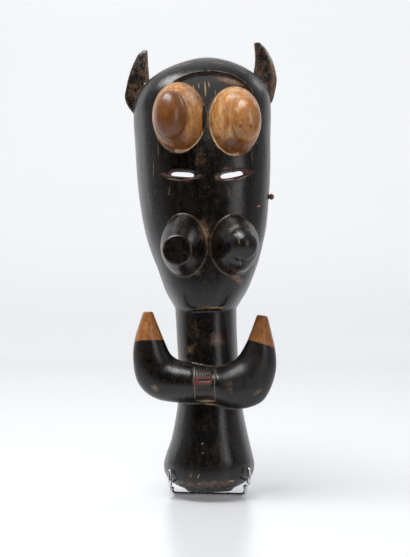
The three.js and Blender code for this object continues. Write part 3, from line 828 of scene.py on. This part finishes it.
SCRATCHES = [  # in the same columns as HANDLED
    (65, 332.5, 3, 1, 30, 1), (25.5, 12.3, 3.4, 1.2, 10, 1), (-7.6, 56, 1.1, 1.1, 0, 0.8),
    (-7.5, 45.5, 1, 1, 0, 0.7), (-22, 19.5, 1, 3, -20, 0.6), (-13, 19, 1, 3.4, -30, 0.7),
    (-8.5, 470, 1, 8, 4, 0.8), (-2.5, 476, 0.8, 5, -3, 0.6), (5, 472, 1, 10, 2, 0.9),
    (9.5, 478, 0.7, 5, 5, 0.7), (17, 468, 0.8, 7, -6, 0.5), (12, 213.5, 11, 0.9, 0, 0.8),
    (-8, 212.6, 10, 0.7, 0, 0.6), (40, 262, 0.7, 6, 8, 0.6), (-3, 104.5, 13, 0.9, 3, 0.9),
    (2, 101, 9, 0.7, -4, 0.7), (-50, 205, 0.8, 6, 15, 0.4), (30, 345, 0.7, 11, 3, 0.5),
    (-40, 350, 0.7, 8, -5, 0.5), (-52, 400, 0.7, 14, 3, 0.5), (-58, 380, 0.6, 18, -2, 0.5),
    (58, 390, 0.7, 16, 2, 0.5), (-20, 507, 16, 0.8, 12, 0.5), (22, 508, 14, 0.8, -14, 0.5),
    (48, 497, 12, 0.9, -30, 0.5), (62, 360, 0.7, 12, 0, 0.4), (-4, 345, 0.6, 9, 0, 0.4),
    (16, 335, 0.6, 12, 3, 0.35), (39, 284, 0.5, 5, 2, 0.7), (-34, 363.5, 9, 0.7, -13, 0.9),
    (-17, 362.8, 9, 0.7, 5, 0.9), (30, 361, 7, 0.8, 6, 0.9), (46, 363.6, 7, 0.8, 24, 0.9),
    (-22, 64, 0.8, 6, 8, 0.3), (30, 40, 0.6, 9, -8, 0.3),
]


def marked(tree, block, marks):
    """The strongest of the marks at each point. They are thinner than the mesh can hold."""
    strongest = 0
    for x, z, half_x, half_z, turn, strength in marks:
        near = add(tree, "Mapping", {
            "Vector": block, "Location": (x * MM, 0, z * MM), "Rotation": (0, -math.radians(turn), 0),
            "Scale": (half_x * MM, 1, half_z * MM)}, vector_type="TEXTURE")
        far = add(tree, "VectorMath", {0: near}, output="Value", operation="LENGTH")
        here = add(tree, "MapRange", {"Value": far, "From Min": 1.5, "From Max": 0.4, "To Max": strength})
        strongest = add(tree, "Math", {0: strongest, 1: here}, operation="MAXIMUM")
    return strongest


def blackened_wood():
    finish, tree, shader = new_finish("blackened_wood")
    block = add(tree, "Mapping", {
        "Vector": add(tree, "TexCoord", output="Object"),
        "Location": lean.inverted().translation, "Rotation": (LEAN, ROLL, 0),
    })
    stretched = {
        stretch: add(tree, "Mapping", {"Vector": block, "Scale": (1, 1, stretch)})
        for stretch in (ALONG, DRAWN, ROUND)
    }
    noises = {
        name: add(tree, "TexNoise", {
            "Vector": stretched[stretch], "Scale": 1 / (size * MM), "Detail": detail, "Roughness": rough,
        })
        for name, stretch, size, detail, rough in NOISES
    }
    fields = {name: add(tree, "Attribute", attribute_name=name, output="Fac") for name in FIELDS}
    fields["none"] = 0
    scratch = marked(tree, block, SCRATCHES)
    fields["scratch"] = add(tree, "Math", {0: scratch, 1: fields["front"]}, operation="MULTIPLY")

    black = layered(tree, STAIN_BLACK, STAINED, fields, noises)
    bare = layered(tree, BARE_WOOD, BARE, fields, noises)
    # The pale rim line round the knobs' feet, partly a painted highlight.
    into_rim = summed(tree, noises, [("mottle", RIM_EDGE["ragged"])], fields["foot_rim"])
    off_rim = add(tree, "Math", {0: into_rim, 1: RIM_EDGE["at"]}, operation="SUBTRACT")
    pale_rim = add(tree, "MapRange", {
        "Value": add(tree, "Math", {0: off_rim}, operation="ABSOLUTE"),
        "From Min": RIM_EDGE["starts"], "From Max": RIM_EDGE["full"], "To Max": RIM_EDGE["strength"],
    }, **SOFT_STEP)
    bare = add(tree, "Mix", {"Factor": pale_rim, "A": bare, "B": PALE_RIM}, data_type="RGBA")
    is_bare = add(tree, "MapRange", {
        "Value": summed(tree, noises, [("mottle", BARE_EDGE["ragged"])], fields["bare"]),
        "From Min": BARE_EDGE["starts"], "From Max": BARE_EDGE["full"],
    }, **SOFT_STEP)
    colour = add(tree, "Mix", {"Factor": is_bare, "A": black, "B": bare}, data_type="RGBA")
    colour = layered(tree, colour, REDDENED, fields, noises)
    raw = layered(tree, RAW_WOOD, RAW, fields, noises)
    colour = add(tree, "Mix", {"Factor": fields["inside"], "A": colour, "B": raw}, data_type="RGBA")

    dull = add(tree, "Math", {0: fields["inside"], 1: fields["sheltered"]}, operation="MAXIMUM")
    dull = add(tree, "Math", {0: dull, 1: fields["red"]}, operation="MAXIMUM")
    rough = summed(tree, noises, ROUGH)
    rough = add(tree, "Math", {0: dull, 1: DULL_ROUGHER, 2: rough}, operation="MULTIPLY_ADD")
    relief = summed(tree, noises, RELIEF)
    bump = add(tree, "Bump", {"Height": relief, "Distance": RELIEF_DEPTH, "Strength": 0.6})
    link_surface(tree, shader, colour, rough, bump)
    return finish


def finished(piece, finish, node):
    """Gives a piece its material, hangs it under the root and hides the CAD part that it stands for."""
    piece.data.materials.clear()
    piece.data.materials.append(finish)
    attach(piece, "root")
    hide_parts(node)


finished(mask, blackened_wood(), "mask")


# The side peg. A stick of brown wood whittled with a knife and pushed through a hole in the right
# rim, where a cord or cloth was once tied. Its end stands out as a small rough knob.
PEG_AT = Vector((0, -30, 349))
PEG_FACETS = 9
PEG_RINGS = [  # along x, radius
    (59, 2.0), (61, 2.9), (70, 3.0), (79.4, 3.0),
    (80.2, 4.0), (81.2, 4.6), (82.8, 4.3), (84, 3.3), (84.8, 1.8),
]
PEG_UNEVEN = 0.1
PEG_FIBRE = 1.1
peg_outline = []
for i in range(PEG_FACETS):
    angle = 2 * math.pi * i / PEG_FACETS
    reach = 1 - PEG_UNEVEN + PEG_UNEVEN * math.sin(angle * 2 + 1)
    peg_outline.append((0, reach * math.cos(angle), reach * math.sin(angle)))
peg = drawn_up("peg_whittled", peg_outline, [
    (PEG_AT + Vector((x, 0, 0)), (1, radius, radius)) for x, radius in PEG_RINGS
])
modified(peg, "BEVEL", width=0.3 * MM, segments=2)
peg.data.transform(lean)
bpy.ops.object.shade_smooth_by_angle(angle=math.radians(40))


def peg_wood():
    """A bare stick, cut with a knife and dulled by hands: dry brown fibres that run along it. They
    are too fine to show and are drawn about 1 mm wide."""
    finish, tree, shader = new_finish("peg_wood")
    place = add(tree, "TexCoord", output="Object")
    along = add(tree, "Mapping", {"Vector": place, "Scale": (0.15, 1, 1)})
    grain = add(tree, "TexNoise", {"Vector": along, "Scale": 1 / (PEG_FIBRE * MM), "Detail": 5})
    colour = add(tree, "Mix", {"Factor": grain, "A": "3c2617", "B": "8c6440"}, data_type="RGBA")
    roughness = add(tree, "MapRange", {"Value": grain, "To Min": 0.5, "To Max": 0.8})
    bump = add(tree, "Bump", {"Height": grain, "Distance": 0.3 * MM, "Strength": 0.6})
    link_surface(tree, shader, colour, roughness, bump)
    return finish


finished(peg, peg_wood(), "side_peg")


# The stand. Three lengths of 4 mm steel wire, bent cold, brazed together and chromed. The rest
# holds the base in two hooks and props the neck, the foot and the prop stand on the floor.
WIRE = 2
BEND = 6
WIRE_AROUND = 20
WIRE_FIELDS = ("ring_x", "ring_y", "run")  # place around the wire, 1 being its radius, and mm along it
BEND_STEPS = 8
REST_SIDE = [(46, 8, 9), (23, 2.9, 92), (17, 2.9, 196)]  # half width, y, z of its bends
REST_MIDDLE = -0.4
HOOKS = {"left": -56, "right": -60, "rise": 17.9}
FOOT = {"x": 9.2, "y": -43, "half": 43.6, "left": 10.2, "right": 13.8, "turn": math.radians(-5)}
PROP = {"x": 8, "y": 96, "top_half": 17.2, "foot_half": 52, "top_y": 17.7, "top_z": 186}
ROUND_END = [(0, 0.25), (0.2, 0.6), (0.6, 0.86), (1.4, 1)]  # mm from the tip, share of the radius
BEAD = [(0, 0.3), (0.3, 0.8), (1, 1.25), (2.2, 1.35), (3.4, 1.12), (4.6, 1)]


def wire_stations(corners):
    """Places along the wire: straight to each bend and round it."""
    stations = [corners[0]]
    for before, corner, after in zip(corners, corners[1:], corners[2:]):
        start = corner + (before - corner).normalized() * BEND
        end = corner + (after - corner).normalized() * BEND
        for k in range(BEND_STEPS + 1):
            t = k / BEND_STEPS
            stations.append(start * (1 - t) ** 2 + corner * 2 * t * (1 - t) + end * t**2)
    return stations + [corners[-1]]


def bent_wire(name, corners, end=ROUND_END):
    """A rod drawn out ring by ring, then laid along the bent path. Its places along and around
    the wire stay with it for the finish."""
    path = wire_stations([Vector(corner) for corner in corners])
    first, last = path[1] - path[0], path[-2] - path[-1]
    head = [(path[0] + first.normalized() * far, share) for far, share in end]
    tail = [(path[-1] + last.normalized() * far, share) for far, share in end]
    rings = [*head, *((place, 1) for place in path[1:-1]), *reversed(tail)]
    wire = drawn_up(name, oval(WIRE_AROUND), [((0, 0, k), (1, 1, 1)) for k in range(len(rings))])
    axes = Vector((0, 0, 1)).rotation_difference(first).to_matrix()
    direction, run = first.normalized(), 0
    frames = []
    for k, (place, share) in enumerate(rings):
        ahead = (rings[min(k + 1, len(rings) - 1)][0] - rings[max(k - 1, 0)][0]).normalized()
        axes = direction.rotation_difference(ahead).to_matrix() @ axes
        direction = ahead
        run += (place - rings[max(k - 1, 0)][0]).length
        frames.append((place, axes.copy(), share, run))
    marks = []
    for vertex in wire.data.vertices:
        x, y, k = vertex.co / MM
        place, axes, share, run = frames[round(k)]
        marks.append((x, y, run))
        vertex.co = (place + axes @ Vector((x, y, 0)) * WIRE * share) * MM
    for field, values in zip(WIRE_FIELDS, zip(*marks)):
        keep_field(wire, field, values)
    turned_outwards(wire)
    bpy.ops.object.shade_smooth_by_angle(angle=math.radians(60))
    return wire


def rest_side(sign, hook):
    """One side of the rest, from the hook's tip to the top corner behind the neck."""
    half, _, low = REST_SIDE[0]
    corners = [(half, hook, low + HOOKS["rise"]), (half, hook, low), *REST_SIDE]
    return [Vector((sign * half + REST_MIDDLE, y, z)) for half, y, z in corners]


rest = bent_wire("rest_wire", rest_side(-1, HOOKS["left"]) + rest_side(1, HOOKS["right"])[::-1])
rest.data.transform(lean)

foot_half = FOOT["half"]
foot = bent_wire("foot_wire", [
    (-foot_half, 0, FOOT["left"]), (-foot_half, 0, WIRE),
    (foot_half, 0, WIRE), (foot_half, 0, FOOT["right"]),
], BEAD)
foot.data.transform(
    Matrix.Translation(Vector((FOOT["x"], FOOT["y"], 0)) * MM) @ Matrix.Rotation(FOOT["turn"], 4, "Z")
)

prop_run = PROP["y"] - PROP["top_y"], PROP["top_z"] - WIRE
prop_tilt, prop_length = math.atan2(*prop_run), math.hypot(*prop_run)
top_half, prop_half = PROP["top_half"], PROP["foot_half"]
prop = bent_wire("prop_wire", [
    (-top_half, 0, prop_length), (-prop_half, 0, 0), (prop_half, 0, 0), (top_half, 0, prop_length),
], BEAD)
prop.data.transform(
    Matrix.Translation(Vector((PROP["x"], PROP["y"], WIRE)) * MM) @ Matrix.Rotation(prop_tilt, 4, "X")
)


def chromed_wire():
    """Chromed drawn steel. The plating is bright and a little worn, and fine lines that the die
    left run along it. They are too fine to show and are drawn about 0.3 mm wide."""
    finish, tree, shader = new_finish("chromed_wire", Metallic=1)
    fields = [add(tree, "Attribute", attribute_name=name, output="Fac") for name in WIRE_FIELDS]
    turned = add(tree, "CombineXYZ", dict(enumerate(fields)))
    drawn = add(tree, "Mapping", {"Vector": turned, "Scale": (6, 6, 0.02)})
    lines = add(tree, "TexNoise", {"Vector": drawn, "Scale": 1, "Detail": 3})
    clouds = add(tree, "TexNoise", {"Vector": turned, "Scale": 0.12, "Detail": 3})
    colour = add(tree, "Mix", {"Factor": clouds, "A": "cfd1d3", "B": "e6e6e4"}, data_type="RGBA")
    worn = add(tree, "Math", {0: lines, 1: clouds}, operation="MULTIPLY")
    roughness = add(tree, "MapRange", {"Value": worn, "From Max": 0.5, "To Min": 0.12, "To Max": 0.36})
    bump = add(tree, "Bump", {"Height": lines, "Distance": 0.02 * MM, "Strength": 0.3})
    link_surface(tree, shader, colour, roughness, bump)
    return finish


chrome = chromed_wire()
for wire, node in ((rest, "stand_rest"), (foot, "stand_foot"), (prop, "stand_prop")):
    finished(wire, chrome, node)


# The studio. A white sweep, lit so evenly that floor and back are one field: the back glows, the
# floor is a pale, slightly glossy board. Soft lights stand above, to both sides and to the right
# of the camera, and the room before the mask is dark, so that its black stays black.
BOARD = "d0d1d3"
GLOW = "f9fafc"
BACK_GLOW = 0.66
FLOOR_GLOW = 0.16
GLOW_RISES = (1.3, 2.8)  # from how far behind the mask to how far
SWEEP = {"half_width": 4, "front": -5, "back": 1.6, "bend": 1.2, "top": 5}
SWEEP_STEPS = 60
bpy.ops.object.select_all(action="DESELECT")
bpy.ops.mesh.primitive_grid_add(x_subdivisions=2, y_subdivisions=SWEEP_STEPS, size=1)
sweep = bpy.context.object
sweep.name = "studio_sweep"
floor_run, arc_run = SWEEP["back"] - SWEEP["front"], math.pi / 2 * SWEEP["bend"]
for vertex in sweep.data.vertices:
    run = (vertex.co.y + 0.5) * (floor_run + arc_run + SWEEP["top"])
    turn = min(max((run - floor_run) / SWEEP["bend"], 0), math.pi / 2)
    over = max(run - floor_run - arc_run, 0)
    vertex.co = (
        vertex.co.x * 2 * SWEEP["half_width"],
        SWEEP["front"] + min(run, floor_run) + SWEEP["bend"] * math.sin(turn),
        SWEEP["bend"] * (1 - math.cos(turn)) + over,
    )
bpy.ops.object.shade_smooth()
paper, tree, shader = new_finish("studio_board", **{
    "Roughness": 0.25, "Base Color": linear(BOARD), "Emission Color": linear(GLOW),
})
behind = add(tree, "SeparateXYZ", {"Vector": add(tree, "TexCoord", output="Object")}, output="Y")
glow = add(tree, "MapRange", {
    "Value": behind, "From Min": GLOW_RISES[0], "From Max": GLOW_RISES[1],
    "To Min": FLOOR_GLOW, "To Max": BACK_GLOW,
}, **SOFT_STEP)
tree.links.new(glow, shader.inputs["Emission Strength"])
sweep.data.materials.append(paper)

LIGHTS = [  # place, size, watts, aimed at
    ("overhead", (-0.5, -0.4, 1.85), (1.5, 0.7), 38, (0, 0, 0.4)),
    ("left", (-1.25, 0.8, 0.8), (0.6, 1.2), 1.5, (0, 0, 0.3)),
    ("right", (1.25, 0.7, 1.4), (0.5, 0.6), 3, (0, 0, 0.4)),
    ("front_right", (1.05, -1.5, 0.85), (0.5, 1.0), 5.5, (0, 0, 0.3)),
]
for name, place, size, watts, aim in LIGHTS:
    bpy.ops.object.light_add(type="AREA", location=place)
    lamp = bpy.context.object
    lamp.name = f"softbox_{name}"
    lamp.rotation_euler = (Vector(aim) - Vector(place)).to_track_quat("-Z", "Y").to_euler()
    lamp.data.shape = "RECTANGLE"
    lamp.data.size, lamp.data.size_y = size
    lamp.data.energy = watts

# The room is dark before the mask, but seen straight on it is pale all round.
ROOM_DARK, ROOM_PALE = "060606", "a9aaac"
world = bpy.data.worlds.new("studio_room")
bpy.context.scene.world = world
world.use_nodes = True
room = world.node_tree
facing = add(room, "SeparateXYZ", {"Vector": add(room, "TexCoord", output="Generated")}, output="Y")
pale = add(room, "MapRange", {"Value": facing, "From Min": -0.75, "From Max": 0.05},
           **SOFT_STEP)
seen = add(room, "LightPath", output="Is Camera Ray")
pale = add(room, "Math", {0: pale, 1: seen}, operation="MAXIMUM")
walls = add(room, "Mix", {"Factor": pale, "A": ROOM_DARK, "B": ROOM_PALE}, data_type="RGBA")
room.links.new(walls, room.nodes["Background"].inputs["Color"])


# The camera. Between the eye slits and the lower knobs in height, tilted down a little, with a
# long lens, as the photograph was taken.
CAMERA_AT = (0.005, -1.8, 0.3465)
CAMERA_DOWN = math.radians(2.92)
LENS = 96.95
bpy.ops.object.camera_add(location=CAMERA_AT, rotation=(math.pi / 2 - CAMERA_DOWN, 0, 0))
camera = bpy.context.object
camera.data.lens = LENS
bpy.context.scene.camera = camera
bpy.context.scene.view_settings.view_transform = "Standard"
